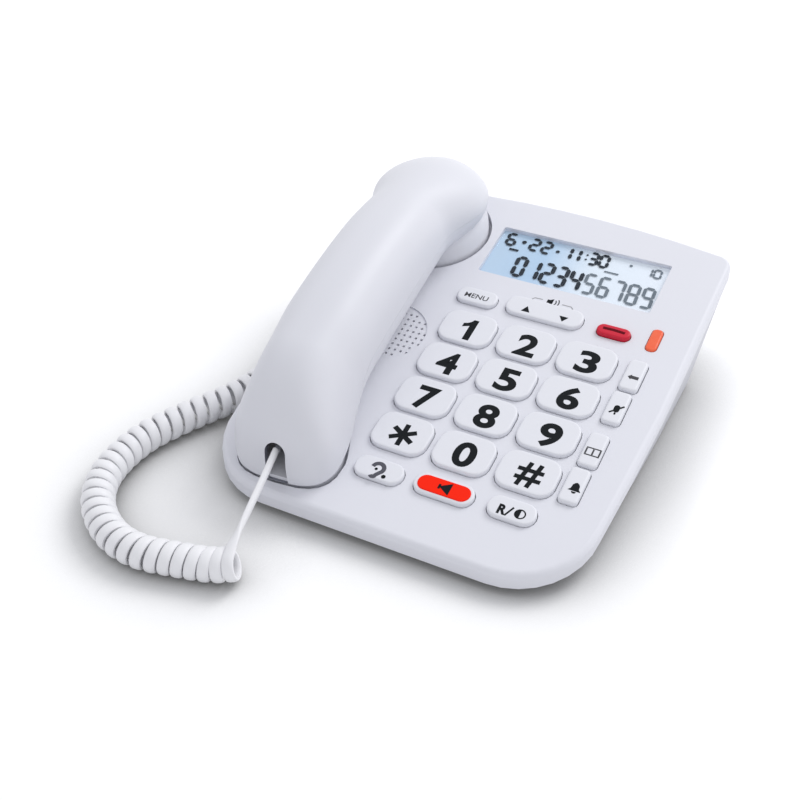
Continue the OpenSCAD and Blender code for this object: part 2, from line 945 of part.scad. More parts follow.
// Middle line of the coil on the table, from the handset's end to the base's end.
coil_route = [
  [-37, -142.5], [-50, -146.5], [-62, -149.5], [-75, -152], [-88, -150.5], [-100, -144.5],
  [-110, -135], [-116.5, -122], [-118.5, -107], [-117, -92], [-112, -78], [-106.5, -66],
  [-101, -55], [-96.5, -43], [-94, -29], [-95.2, -14], [-97.6, 0], [-98, 12]
];
// Free stretch from the handset's plug to the coil.
lead_handset_route = [
  [-45.6, -97, 29.3], [-45, -101, 28.2], [-43.9, -108, 26.1], [-42.4, -118.5, 23],
  [-41, -129, 19.8], [-40.2, -135, 18]
];
// Free stretch from the coil to the base's plug.
lead_base_route = [
  [-106, 15, 11.5], [-109.5, 19, 10.4], [-110, 24, 9.6], [-107.5, 28, 9.4], [-103, 29.8, 9.4],
  [-97, jack_y, jack_z], [jack_face - 10.8, jack_y, jack_z]
];

coil_z = coil_d / 2 + 0.05;
coil_mid_r = (coil_d - cord_t) / 2;
fine_steps = 8;
function spline(p, i, t) =
  let (
    n = len(p) - 1,
    a = p[max(0, i - 1)],
    b = p[i],
    c = p[min(n, i + 1)],
    d = p[min(n, i + 2)]
  )
  0.5 * (2 * b + t * (c - a) + t * t * (2 * a - 5 * b + 4 * c - d) + t * t * t * (3 * b - a - 3 * c + d));
coil_line = [
  for (i = [0:len(coil_route) - 2], k = [0:fine_steps - 1])
    spline(coil_route, i, k / fine_steps),
  coil_route[len(coil_route) - 1]
];
function lengths(p, i = 0, sum = 0) =
  i == len(p) - 1 ? [sum] : concat([sum], lengths(p, i + 1, sum + norm(p[i + 1] - p[i])));
coil_lengths = lengths(coil_line);
coil_length = coil_lengths[len(coil_lengths) - 1];
coil_x = [for (i = [0:len(coil_line) - 1]) [coil_lengths[i], coil_line[i].x]];
coil_y = [for (i = [0:len(coil_line) - 1]) [coil_lengths[i], coil_line[i].y]];
// The end that hangs on the handset's lead is drawn up from the table.
end_lift = 2.6;
end_lift_l = 13;
function coil_at(l) =
  [lookup(l, coil_x), lookup(l, coil_y), coil_z + end_lift * pow(max(0, 1 - l / end_lift_l), 2)];
function unit(v) = v / norm(v);
function coil_way(l) = unit(coil_at(min(coil_length, l + 4)) - coil_at(max(0, l - 4)));

curl_rings = 8;
curl_start = 100;
ring_count = curls * curl_rings;
// The curls lie closer at the handset's end.
closer = 0.84;
function curl_place(k) = let (u = k / ring_count) coil_length * (closer * u + (1 - closer) * u * u);
function curl_out(k) =
  let (a = coil_way(curl_place(k)), h = unit([a.y, -a.x, 0]), f = curl_start + 360 * k / curl_rings)
  cos(f) * h + sin(f) * cross(h, a);
function curl_at(k) = coil_at(curl_place(k)) + coil_mid_r * curl_out(k);
function curl_way(k) = unit(curl_at(k + 0.1) - curl_at(k - 0.1));
function section(c, way, out, sides, thick, wide) =
  let (e1 = unit(out - (out * way) * way), e2 = cross(way, e1))
  [for (j = [0:sides - 1]) let (a = 360 * (j + 0.5) / sides) c + e1 * thick / 2 * cos(a) + e2 * wide / 2 * sin(a)];

start_way = curl_way(0.1);
end_way = curl_way(ring_count - 0.1);
start_at = curl_at(0) - cord_w * start_way;
end_at = curl_at(ring_count) + cord_w * end_way;
curl_sections = [
  section(start_at, start_way, curl_out(0), 6, cord_t, cord_w),
  for (k = [0:ring_count])
    section(curl_at(k), k == 0 ? start_way : k == ring_count ? end_way : curl_way(k), curl_out(k), 6, cord_t, cord_w),
  section(end_at, end_way, curl_out(ring_count), 6, cord_t, cord_w)
];
least_gap = min([
  for (k = [1:ring_count - curl_rings - 1], n = [curl_rings - 1:curl_rings + 1], a = [0:5], b = [0:5])
    norm(curl_sections[k][a] - curl_sections[k + n][b])
]);
echo(str("least gap between curls: ", least_gap, " mm; coil length: ", coil_length, " mm"));

module cord_coil() {
  color("white")
    loft(curl_sections);
}

lead_turns = [0, 0, 0, 0, 0.2, 0.6, 1];
function lead_way(p, i) = unit(p[min(len(p) - 1, i + 1)] - p[max(0, i - 1)]);
function side_of(way) = unit(cross(way, [0, 0, 1]));

module cord_lead_handset() {
  line = concat(lead_handset_route, [start_at]);
  n = len(line);
  color("white")
    loft([
      for (i = [0:n - 1])
        let (way = i == n - 1 ? start_way : lead_way(line, i), t = lead_turns[i])
          section(line[i], way, (1 - t) * side_of(way) + t * curl_out(0), 8, cord_t, cord_w)
    ]);
}

module cord_lead_base() {
  line = concat([end_at], lead_base_route);
  n = len(line);
  color("white")
    loft([
      for (i = [0:n - 1])
        let (way = i == 0 ? end_way : i == n - 1 ? [1, 0, 0] : lead_way(line, i))
          section(line[i], way, [0, 0, 1], 8, cord_t, cord_w)
    ]);
}

module cord_plug_handset() {
  color("whitesmoke")
    on_handset(plug_mid)
      translate([slot_x, 0, 0]) {
        translate([-plug_w / 2, socket_face - 2, -plug_h / 2])
          cube([plug_w, 13, plug_h]);
        translate([-2.4, socket_face - 1, -plug_h / 2 - 2.6])
          cube([4.8, 9, 2.7]);
        translate([0, socket_face - 1, 1.6])
          rotate([90, 0, 0])
            cylinder(h = 7.9, r = 1.4);
      }
}

module cord_plug_base() {
  color("whitesmoke")
    translate([jack_face, jack_y, jack_z]) {
      translate([-4, -plug_w / 2, -plug_h / 2])
        cube([14, plug_w, plug_h]);
      translate([-10.8, -2.4, -1.6])
        cube([8, 4.8, 3.2]);
    }
}

// ---- the nodes

upper_housing();
lower_housing();
display_lens();
display_panel();
display_backlight();
led_lens();
key(0, shell_white);  // key_1
key(1, shell_white);  // key_2
key(2, shell_white);  // key_3
key(3, shell_white);  // key_4
key(4, shell_white);  // key_5
key(5, shell_white);  // key_6
key(6, shell_white);  // key_7
key(7, shell_white);  // key_8
key(8, shell_white);  // key_9
key(9, shell_white);  // key_star
key(10, shell_white);  // key_0
key(11, shell_white);  // key_hash
key(12, shell_white);  // key_menu
key_rocker();
key(14, "crimson");  // key_delete
side_key(0);  // key_side_1
side_key(1);  // key_side_2
side_key(2);  // key_side_3
side_key(3);  // key_side_4
key(19, shell_white);  // key_boost
key_speaker();
speaker_inlay();
key(21, shell_white);  // key_recall
keypad_membrane();
main_board();
hook_plunger();
hook_spring();
hook_switch();
hook_board();
loudspeaker();
base_microphone();
line_jack();
handset_jack();
feet();
case_screws();
battery_door();
batteries();
battery_contacts();
handset_back();
handset_front();
receiver();
handset_microphone();
handset_socket();
handset_weight();
handset_screws();
cord_plug_handset();
cord_lead_handset();
cord_coil();
cord_lead_base();
cord_plug_base();
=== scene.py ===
import math

import bmesh
import bpy
import numpy as np
from mathutils import Matrix, Vector


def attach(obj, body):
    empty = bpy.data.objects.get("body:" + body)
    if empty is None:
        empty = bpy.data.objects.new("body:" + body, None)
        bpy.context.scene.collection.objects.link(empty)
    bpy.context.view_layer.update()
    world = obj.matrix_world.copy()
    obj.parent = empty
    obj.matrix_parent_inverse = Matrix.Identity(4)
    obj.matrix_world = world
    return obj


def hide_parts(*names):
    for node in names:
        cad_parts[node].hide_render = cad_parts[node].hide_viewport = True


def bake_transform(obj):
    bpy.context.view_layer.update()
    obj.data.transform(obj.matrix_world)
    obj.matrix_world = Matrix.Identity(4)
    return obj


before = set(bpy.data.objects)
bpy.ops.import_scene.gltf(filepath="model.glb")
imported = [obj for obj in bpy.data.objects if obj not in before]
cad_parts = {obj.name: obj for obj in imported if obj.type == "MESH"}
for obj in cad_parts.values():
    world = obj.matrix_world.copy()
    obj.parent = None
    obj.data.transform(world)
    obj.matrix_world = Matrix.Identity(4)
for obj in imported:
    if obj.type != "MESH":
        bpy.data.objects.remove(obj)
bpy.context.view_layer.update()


def placed(name, data, body=None):
    """Puts a mesh, lamp or camera into the scene, riding on a body where one is named."""
    piece = bpy.data.objects.new(name, data)
    bpy.context.scene.collection.objects.link(piece)
    if body:
        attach(piece, body)
    return piece


# The view: from the right of the desk and well above it, so the deck, the display and the
# handset's back all show.
camera_place = (0.1623, -0.3951, 0.3270)
view_right = Vector((0.8916, 0.4529, 0.0))
view_ahead = Vector((-0.3614, 0.7112, -0.6030))
camera = placed("camera", bpy.data.cameras.new("camera"))
camera.data.lens = 51.75
camera.data.sensor_width = 36
view_up = view_right.cross(view_ahead)
turned = Matrix((view_right, view_up, -view_ahead)).transposed().to_4x4()
camera.matrix_world = Matrix.Translation(camera_place) @ turned
bpy.context.scene.camera = camera
bpy.context.scene.view_settings.view_transform = "Standard"

# ---------------------------------------------------------------------------------------------
# The curly cord: four flat-laid conductors in a white vinyl sleeve, wound hot on a rod so that
# it keeps its curls. Its straight ends run into the handset's socket and the base's socket.
mm = 0.001


class Wire:
    """An output socket of a material. Sums and products of wires and numbers add Math nodes."""

    def __init__(self, tree, socket=None):
        self.tree = tree
        self.socket = socket

    def node(self, kind, settings=None, sockets=None, output=0):
        """Adds a node: its settings and a ramp's stops first, then its sockets' values or links."""
        made = self.tree.nodes.new(kind)
        for name, value in (settings or {}).items():
            if name == "stops":
                ramp = made.color_ramp
                while len(ramp.elements) < len(value):
                    ramp.elements.new(1.0)
                for stop, (place, colour) in zip(ramp.elements, value):
                    stop.position = place
                    stop.color = colour
            else:
                setattr(made, name, value)
        for name, value in (sockets or {}).items():
            if isinstance(value, Wire):
                self.tree.links.new(value.socket, made.inputs[name])
            else:
                made.inputs[name].default_value = value
        return Wire(self.tree, made.outputs[output] if made.outputs else None)

    def maths(self, operation, first, second):
        """A Math node on two wires or numbers."""
        return self.node("ShaderNodeMath", {"operation": operation}, {0: first, 1: second})

    def mixed(self, low, high):
        """The colour between two colours, as far along as this wire says."""
        factor, first, second, result = 0, 6, 7, 2
        sockets = {factor: self, first: low, second: high}
        return self.node("ShaderNodeMix", {"data_type": "RGBA"}, sockets, result)

    def to_surface(self):
        """Makes this wire the material's surface."""
        self.node("ShaderNodeOutputMaterial", sockets={"Surface": self})

    def __add__(self, other):
        return self.maths("ADD", self, other)

    __radd__ = __add__

    def __mul__(self, other):
        return self.maths("MULTIPLY", self, other)

    __rmul__ = __mul__


def blank_material(name):
    """A material with no nodes, and a wire to start its nodes from."""
    made = bpy.data.materials.new(name)
    made.use_nodes = True
    made.node_tree.nodes.clear()
    return made, Wire(made.node_tree)


def tint(colour, strength=1.0):
    """A colour times a factor, with the fourth value that a socket asks for."""
    return (colour[0] * strength, colour[1] * strength, colour[2] * strength, 1.0)


def own_noise(start, scale, detail=2.0):
    """Noise on the piece's own coordinates."""
    place = start.node("ShaderNodeTexCoord", output="Object")
    sockets = {"Vector": place, "Scale": scale, "Detail": detail}
    return start.node("ShaderNodeTexNoise", sockets=sockets)


def skin(start, sockets):
    """Ends a material in one Principled shader."""
    start.node("ShaderNodeBsdfPrincipled", sockets=sockets).to_surface()


cloud_scale, grain_scale = 22.0, 1600
grain_depth = 0.0001
roughness_spread = 0.04


def moulded(name, colour, roughness=0.4, grain=0.08, mottle=0.03, coat=0.0, shine=0.25):
    """Moulded plastic: broad noise clouds the colour, and fine noise roughens and dents it."""
    made, start = blank_material(name)
    fine = own_noise(start, grain_scale)
    dents = {"Strength": grain, "Distance": grain_depth, "Height": fine}
    clouds = own_noise(start, cloud_scale)
    skin(
        start,
        {
            "Base Color": clouds.mixed(tint(colour, 1 - mottle), tint(colour, 1 + mottle)),
            "Roughness": roughness - roughness_spread + fine * (2 * roughness_spread),
            "Normal": start.node("ShaderNodeBump", sockets=dents),
            "Coat Weight": coat,
            "Coat Roughness": 0.2,
            "Specular IOR Level": shine,
        },
    )
    return made


def smooth(mesh, edge):
    """Shades a mesh smooth, but for edges sharper than an angle in degrees."""
    mesh.polygons.foreach_set("use_smooth", np.ones(len(mesh.polygons), bool))
    mesh.set_sharp_from_angle(angle=math.radians(edge))


def closed_mesh(name, rings, material, body=None, edge=35):
    """A closed skin through rings of equally many points: quads between rings, a face over each
    end, normals turned outwards, and edges sharper than the angle kept sharp."""
    rings = np.asarray(rings, float)
    count, points = rings.shape[:2]
    index = np.arange(count * points).reshape(count, points)
    after = np.roll(index, -1, axis=1)
    quads = np.stack([index[:-1], after[:-1], after[1:], index[1:]], axis=-1).reshape(-1, 4)
    ends = [index[0].tolist(), index[-1].tolist()]
    mesh = bpy.data.meshes.new(name)
    mesh.from_pydata(rings.reshape(-1, 3), [], quads.tolist() + ends)
    shape = bmesh.new()
    shape.from_mesh(mesh)
    bmesh.ops.recalc_face_normals(shape, faces=shape.faces)
    shape.to_mesh(mesh)
    shape.free()
    smooth(mesh, edge)
    mesh.materials.append(material)
    return placed(name, mesh, body)


def unit(v):
    """Vectors made one long."""
    return v / np.linalg.norm(v, axis=-1, keepdims=True)


def rounded_line(route, steps):
    """The curve through a route: each stretch is a cubic with the slope of its neighbours."""
    p = np.asarray(route, float)
    a, b, c, d = p[[0, *range(len(p) - 2)]], p[:-1], p[1:], p[[*range(2, len(p)), len(p) - 1]]
    t = (np.arange(steps) / steps)[:, None, None]
    square = t * t * (2 * a - 5 * b + 4 * c - d)
    cube = t**3 * (3 * b - a - 3 * c + d)
    line = 0.5 * (2 * b + t * (c - a) + square + cube)
    return np.concatenate([line.transpose(1, 0, 2).reshape(-1, p.shape[1]), p[-1:]])


coil_route = [
    [-37, -142.5], [-50, -146.5], [-62, -149.5], [-75, -152], [-88, -150.5], [-100, -144.5],
    [-110, -135], [-116.5, -122], [-118.5, -107], [-117, -92], [-112, -78], [-106.5, -66],
    [-101, -55], [-96.5, -43], [-94, -29], [-95.2, -14], [-97.6, 0], [-98, 12],
]
handset_lead_route = [
    [-45.6, -97, 29.3], [-45, -101, 28.2], [-43.9, -108, 26.1], [-42.4, -118.5, 23],
    [-41, -129, 19.8], [-40.2, -135, 18],
]
jack_x, jack_y, jack_z = -80.5, 30, 9.4
plug_reach = 10.8
base_lead_route = [
    [-106, 15, 11.5], [-109.5, 19, 10.4], [-110, 24, 9.6], [-107.5, 28, 9.4], [-103, 29.8, 9.4],
    [-97, jack_y, jack_z], [jack_x - plug_reach, jack_y, jack_z],
]
cord_thick, cord_wide = 2.4, 4.9
coil_across = 14.3
curl_count, curl_steps = 38, 32
curl_start = math.radians(100)
first_pitch = 0.84
above_table = 0.05
end_lift, end_lift_length = 2.6, 13
axis_steps, lead_steps = 8, 6
way_step = 4
curl_exit = 4.1
coil_axis = rounded_line(coil_route, axis_steps)
coil_run = np.concatenate([[0], np.cumsum(np.linalg.norm(np.diff(coil_axis, axis=0), axis=1))])
coil_length = coil_run[-1]


def on_coil_axis(run):
    """The coil's middle line at a run along it; the handset's end is drawn up from the table."""
    run = np.clip(run, 0, coil_length)
    lift = end_lift * np.clip(1 - run / end_lift_length, 0, 1) ** 2
    x, y = (np.interp(run, coil_run, coil_axis[:, side]) for side in (0, 1))
    return np.stack([x, y, coil_across / 2 + above_table + lift], -1)


def curls(turn):
    """The helix: a circle carried along the coil's line, with each point's outward direction.
    The curls lie closest by the handset's end."""
    u = turn / curl_count
    run = coil_length * (first_pitch * u + (1 - first_pitch) * u * u)
    way = unit(on_coil_axis(run + way_step) - on_coil_axis(run - way_step))
    aside = unit(np.stack([way[:, 1], -way[:, 0], 0 * run], -1))
    angle = (curl_start + 2 * math.pi * turn)[:, None]
    out = np.cos(angle) * aside + np.sin(angle) * np.cross(aside, way)
    return on_coil_axis(run) + (coil_across - cord_thick) / 2 * out, out


helix, helix_out = curls(np.linspace(0, curl_count, curl_count * curl_steps + 1))
before_first = helix[0] - curl_exit * unit(helix[1] - helix[0])
after_last = helix[-1] + curl_exit * unit(helix[-1] - helix[-2])
lead_in = rounded_line([*handset_lead_route, before_first, helix[0]], lead_steps)[:-1]
lead_out = rounded_line([helix[-1], after_last, *base_lead_route], lead_steps)[1:]
cord_line = np.concatenate([lead_in, helix, lead_out])
cord_way = unit(np.gradient(cord_line, axis=0))


def eased(t):
    """A soft step from 0 to 1: three times the square less twice the cube."""
    t = np.clip(t, 0, 1)
    return t * t * (3 - 2 * t)


def level_side(way):
    """The level direction to the right of a way."""
    return unit(np.stack([way[:, 1], -way[:, 0], 0 * way[:, 0]], -1))


def squared(wave, power):
    """A sine or cosine to a power, sign kept: it turns a circle into a superellipse."""
    return np.sign(wave) * np.abs(wave) ** power


# The leads twist into and out of the coil, so the sleeve's flat side meets the first curl's.
twist_start, untwist_rate = 0.45, 2
lead_share = 0.84
in_count, out_count = len(lead_in), len(lead_out)
twist = eased((np.arange(in_count) / in_count - twist_start) / (1 - twist_start))[:, None]
in_flat = (1 - twist) * level_side(cord_way[:in_count]) + twist * helix_out[0]
untwist = eased(np.arange(out_count) / out_count * untwist_rate)[:, None]
out_flat = (1 - untwist) * helix_out[-1] + untwist * np.array([0, 0, 1.0])
flat_way = np.concatenate([in_flat, helix_out, out_flat])
flat_way = unit(flat_way - (flat_way * cord_way).sum(-1, keepdims=True) * cord_way)
wide_way = np.cross(cord_way, flat_way)
in_width = lead_share + (1 - lead_share) * twist[:, 0]
widths = np.concatenate([in_width, np.ones(len(helix)), np.full(out_count, lead_share)])

# The sleeve's section is a flat oval, softly squared.
sleeve_points, sleeve_power = 12, 0.8
around = np.linspace(0, 2 * np.pi, sleeve_points, endpoint=False) + np.pi / sleeve_points
thick_part = squared(np.cos(around), sleeve_power)
wide_part = squared(np.sin(around), sleeve_power)
cord_rings = (
    cord_line[:, None]
    + cord_thick / 2 * thick_part[None, :, None] * flat_way[:, None]
    + cord_wide / 2 * (wide_part[None, :] * widths[:, None])[..., None] * wide_way[:, None]
)
vinyl = moulded("cord_vinyl", (0.83, 0.83, 0.85), roughness=0.42, grain=0.03, mottle=0.02)
curly_cord = closed_mesh("curly_cord", cord_rings * mm, vinyl)
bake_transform(curly_cord)
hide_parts("cord_lead_handset", "cord_coil", "cord_lead_base")

# The plugs at its ends: small clear-grey mouldings that snap into the two sockets.
solids = {name: bpy.data.objects[name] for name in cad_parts}


def dress(node, material):
    """Gives a solid of the frame its finish."""
    solids[node].data.materials.clear()
    solids[node].data.materials.append(material)


plug_plastic = moulded(
    "plug_plastic", (0.30, 0.31, 0.35), roughness=0.25, grain=0.0, coat=0.3
)
dress("cord_plug_handset", plug_plastic)
dress("cord_plug_base", plug_plastic)

# ---------------------------------------------------------------------------------------------
# The studio: a pale seamless paper sheet to stand on, one broad soft box overhead and behind,
# and a white room. Close under the telephone the paper's colour is darkened by ambient occlusion:
# a painted contact shadow. For camera and glossy rays the paper also glows, faintly near the
# telephone and more strongly far from it: painted light that keeps the far paper white.
camera_ray, glossy_ray, through_ray = "Is Camera Ray", "Is Glossy Ray", "Is Transmission Ray"


def any_ray(start, *kinds):
    """1 for a ray of any of these kinds, and 0 for the rays that light the telephone."""
    found = start.node("ShaderNodeLightPath", output=kinds[0])
    for kind in kinds[1:]:
        found = start.maths("MAXIMUM", found, start.node("ShaderNodeLightPath", output=kind))
    return found


sheet_white = (0.93, 0.93, 0.93)
painted_shadow_reach, painted_shadow_samples = 0.032, 8
near, far = 0.40, 1.6
near_glow, far_glow = 0.07, 0.6
table_sheet, start = blank_material("table_sheet")
spot = start.node("ShaderNodeTexCoord", output="Object")
away = start.node("ShaderNodeVectorMath", {"operation": "LENGTH"}, {0: spot}, "Value")
lift = start.node(
    "ShaderNodeMapRange",
    {"clamp": True},
    {"Value": away, "From Min": near, "From Max": far, "To Min": near_glow, "To Max": far_glow},
)
glow = any_ray(start, camera_ray, glossy_ray) * lift
skin(
    start,
    {
        # Painted contact shadow: ambient occlusion darkens the paper's colour close under the
        # telephone.
        "Base Color": start.node(
            "ShaderNodeAmbientOcclusion",
            {"samples": painted_shadow_samples},
            {"Color": tint(sheet_white), "Distance": painted_shadow_reach},
        ),
        "Roughness": 1.0,
        "Specular IOR Level": 0.0,
        "Emission Color": glow.mixed((0, 0, 0, 1), (1, 1, 1, 1)),
        "Emission Strength": 1.0,
    },
)
sheet_reach = 6.0
sheet_corners = sheet_reach * np.array([(-1, -1, 0), (1, -1, 0), (1, 1, 0), (-1, 1, 0)])
sheet_mesh = bpy.data.meshes.new("table_sheet")
sheet_mesh.from_pydata(sheet_corners, [], [(0, 1, 2, 3)])
sheet_mesh.materials.append(table_sheet)
placed("table_sheet", sheet_mesh)

room_light = 0.80
room = bpy.data.worlds.new("white_room")
bpy.context.scene.world = room
room.use_nodes = True
room.node_tree.nodes.clear()
start = Wire(room.node_tree)
white = any_ray(start, camera_ray, glossy_ray, through_ray)
walls = {
    "Color": white.mixed((0.95, 0.96, 1.0, 1), (1, 1, 1, 1)),
    "Strength": room_light + white * (1 - room_light),
}
backdrop = start.node("ShaderNodeBackground", sockets=walls)
start.node("ShaderNodeOutputWorld", sockets={"Surface": backdrop})

box_place, box_aim = Vector((0.75, 1.35, 1.75)), Vector((0.0, -0.02, 0.02))
box_lamp = bpy.data.lights.new("overhead_box", "AREA")
box_lamp.shape = "SQUARE"
box_lamp.size = 1.1
box_lamp.energy = 25
overhead_box = placed("overhead_box", box_lamp)
overhead_box.location = box_place
overhead_box.rotation_euler = (box_aim - box_place).to_track_quat("-Z", "Y").to_euler()

# ---------------------------------------------------------------------------------------------
# The upper housing: one injection moulding in white ABS with a fine spark-eroded grain, closed
# by four screws from below. Its deck carries the printed volume mark above the rocker.
tilt = math.radians(12)
front_height, deck_half_depth = 11.5, 104
deck_height = front_height + deck_half_depth * math.tan(tilt)


def on_deck(across, up, out):
    """Deck coordinates in millimetres to the frame's metres: turned by the tilt, then raised."""
    across, up, out = np.broadcast_arrays(*(np.asarray(v, float) for v in (across, up, out)))
    y = up * math.cos(tilt) - out * math.sin(tilt)
    z = deck_height + up * math.sin(tilt) + out * math.cos(tilt)
    return np.stack([across, y, z], -1) * mm


merge_gap, flat_angle = 2e-6, 0.4
crease_angle, bevel_angle = 32, 50


def housing_copy(node, name, material, soft_edge):
    """A copy of a housing's solid in its place: loose triangles merged, flat ones joined, edges
    softened by a small bevel in millimetres, and shaded smooth."""
    shape = bmesh.new()
    shape.from_mesh(solids[node].data)
    bmesh.ops.remove_doubles(shape, verts=shape.verts, dist=merge_gap)
    bmesh.ops.dissolve_limit(
        shape, angle_limit=math.radians(flat_angle), verts=shape.verts, edges=shape.edges
    )
    mesh = bpy.data.meshes.new(name)
    shape.to_mesh(mesh)
    shape.free()
    smooth(mesh, crease_angle)
    mesh.materials.append(material)
    piece = placed(name, mesh, "base")
    bevel = piece.modifiers.new("soft_edges", "BEVEL")
    bevel.width = soft_edge * mm
    bevel.segments = 2
    bevel.limit_method = "ANGLE"
    bevel.angle_limit = math.radians(bevel_angle)
    weighted = piece.modifiers.new("even_shading", "WEIGHTED_NORMAL")
    weighted.keep_sharp = True
    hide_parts(node)


shell_abs = moulded(
    "shell_abs", (0.73, 0.735, 0.785), roughness=0.45, grain=0.10, mottle=0.012
)
housing_copy("upper_housing", "upper_case", shell_abs, 0.25)

# The lower housing: the undercut tray in the same plastic, moulded apart and screwed up under
# the deck, with a coarser grain. Its colour is a darker copy of the deck's white: painted shade
# for the undercut, which lies in the deck's shadow.
# Painted shade: the same white plastic, darkened.
tray_painted_shade_abs = moulded("tray_painted_shade_abs", (0.60, 0.605, 0.65), roughness=0.5, grain=0.12, mottle=0.015)
housing_copy("lower_housing", "lower_case", tray_painted_shade_abs, 0.2)

# ---------------------------------------------------------------------------------------------
# Printed marks: pad-printed ink a few hundredths of a millimetre over the plastic. Every mark is
# a set of flat outlines in millimetres about a point of the keypad's plane.
pad_across, pad_up = 20, -24


def on_pad(centre, across, up, out):
    """A point of the deck, counted from a centre on the keypad."""
    return on_deck(pad_across + centre[0] + across, pad_up + centre[1] + up, out)


def ink(name, colour, roughness=0.5):
    """Printing ink: next to no shine, and no grain of its own."""
    return moulded(name, colour, roughness=roughness, grain=0.0, mottle=0.04, shine=0.05)


black_ink = ink("black_ink", (0.012, 0.014, 0.016))
grey_ink = ink("grey_ink", (0.07, 0.07, 0.075))
pale_ink = ink("pale_ink", (0.36, 0.36, 0.38))


def printed_piece(name, body, mesh, material):
    """A mark's mesh as a piece that rides on a body."""
    mesh.materials.append(material)
    piece = placed(name, mesh, body)


def flat_mark(name, body, outlines, centre, height, material):
    """Flat filled outlines at a height over the deck, as one piece that faces up."""
    sizes = [len(o) for o in outlines]
    starts = np.cumsum([0] + sizes)
    points = np.concatenate([np.asarray(o, float) for o in outlines])
    mesh = bpy.data.meshes.new(name)
    faces = [list(range(a, a + n)) for a, n in zip(starts, sizes)]
    mesh.from_pydata(on_pad(centre, points[:, 0], points[:, 1], height), [], faces)
    shape = bmesh.new()
    shape.from_mesh(mesh)
    shape.normal_update()
    bmesh.ops.reverse_faces(shape, faces=[f for f in shape.faces if f.normal.z < 0])
    bmesh.ops.triangulate(shape, faces=shape.faces)
    shape.to_mesh(mesh)
    shape.free()
    printed_piece(name, body, mesh, material)


def letters(name, body, text, centre, height, size, material, bold):
    """Text as a mesh, scaled to a width and a height in millimetres."""
    curve = bpy.data.curves.new(name, "FONT")
    curve.body = text
    curve.offset = bold
    curve.resolution_u = 6
    holder = placed(name + "_text", curve)
    bpy.context.view_layer.update()
    seen = holder.evaluated_get(bpy.context.evaluated_depsgraph_get())
    mesh = bpy.data.meshes.new_from_object(seen)
    bpy.data.objects.remove(holder)
    points = np.empty(len(mesh.vertices) * 3)
    mesh.vertices.foreach_get("co", points)
    flat = points.reshape(-1, 3)[:, :2]
    low, high = flat.min(0), flat.max(0)
    x, y = ((flat - (low + high) / 2) * (size / (high - low))).T
    mesh.vertices.foreach_set("co", on_pad(centre, x, y, height).ravel())
    mesh.update()
    mesh.name = name
    mesh.materials.clear()
    printed_piece(name, body, mesh, material)


def stroke(points, width):
    """A line of even width: the points moved aside to the left, then back on the right."""
    p = np.asarray(points, float)
    way = unit(np.gradient(p, axis=0))
    aside = np.stack([-way[:, 1], way[:, 0]], -1) * width / 2
    return np.concatenate([p + aside, (p - aside)[::-1]])


def bend(centre, radius, start, end, count=16):
    """Points of an arc, angles in degrees."""
    a = np.radians(np.linspace(start, end, count))
    return np.stack([centre[0] + radius * np.cos(a), centre[1] + radius * np.sin(a)], -1)


def dot(centre, radius, count=12):
    """A round dot: an arc that ends just short of its start."""
    return bend(centre, radius, 0, 330, count)


deck_ink = 0.03
volume_at = (0.5, 64.7)
volume_bracket = [
    stroke([(-9.4, -2.4), (-9.4, -1.0), (-8.6, 0), (-4.8, 0.2)], 0.6),
    stroke([(4.8, 0), (9.2, 0), (10.2, -1.0), (10.4, -2.4)], 0.6),
]
volume_speaker = [
    [(-2.6, -1.1), (-1.4, -1.1), (0.2, -2.2), (0.2, 2.2), (-1.4, 1.1), (-2.6, 1.1)],
    stroke(bend((-0.6, 0), 2.3, -40, 40, 8), 0.5),
    stroke(bend((-0.6, 0), 3.7, -38, 38, 8), 0.5),
]
flat_mark("volume_bracket", "base", volume_bracket, volume_at, deck_ink, pale_ink)
flat_mark("volume_speaker", "base", volume_speaker, volume_at, deck_ink, black_ink)

# ---------------------------------------------------------------------------------------------
# The display: a liquid crystal cell lit from behind by a cool lamp, under a clear acrylic
# window that is let into the deck. It reads a date, a time, a call count and ten figures.
# The cell's colour across it: its own pale blue on the left, turning to pale grey on the right. The
# pale right half is a painted reflection of the room on the window. The lamp's glow behind the cell
# takes the same colour.
glare_start, glare_rate = 0.021, 11.8
cell_glass, start = blank_material("cell_glass")
place = start.node("ShaderNodeTexCoord", output="Object")
across = start.node("ShaderNodeSeparateXYZ", sockets={0: place}, output="X")
# The ramp's pale right end is painted reflection; its blue left end is the cell's own colour.
shade = start.node(
    "ShaderNodeValToRGB",
    {
        "stops": [
            (0.0, (0.51, 0.63, 0.72, 1)),
            (0.3, (0.46, 0.60, 0.72, 1)),
            (0.6, (0.75, 0.80, 0.82, 1)),
            (1.0, (0.80, 0.83, 0.84, 1)),
        ]
    },
    {0: (across + glare_start) * glare_rate},
)
skin(
    start,
    {
        "Base Color": shade,
        "Roughness": 0.5,
        "Specular IOR Level": 0.0,
        "Emission Color": shade,
        "Emission Strength": 0.12,
    },
)
dress("display_panel", cell_glass)
dress("display_backlight", moulded("diffuser", (0.8, 0.82, 0.86), roughness=0.6))

least_gloss, edge_gloss = 0.01, 0.03
window, start = blank_material("window_acrylic")
clear = start.node("ShaderNodeBsdfTransparent", sockets={"Color": (0.97, 0.98, 1.0, 1)})
gloss = start.node("ShaderNodeBsdfGlossy", sockets={"Color": (1, 1, 1, 1), "Roughness": 0.06})
facing = start.node("ShaderNodeLayerWeight", sockets={"Blend": 0.2}, output="Facing")
share = facing * edge_gloss + least_gloss
start.node("ShaderNodeMixShader", sockets={0: share, 1: clear, 2: gloss}).to_surface()
dress("display_lens", window)

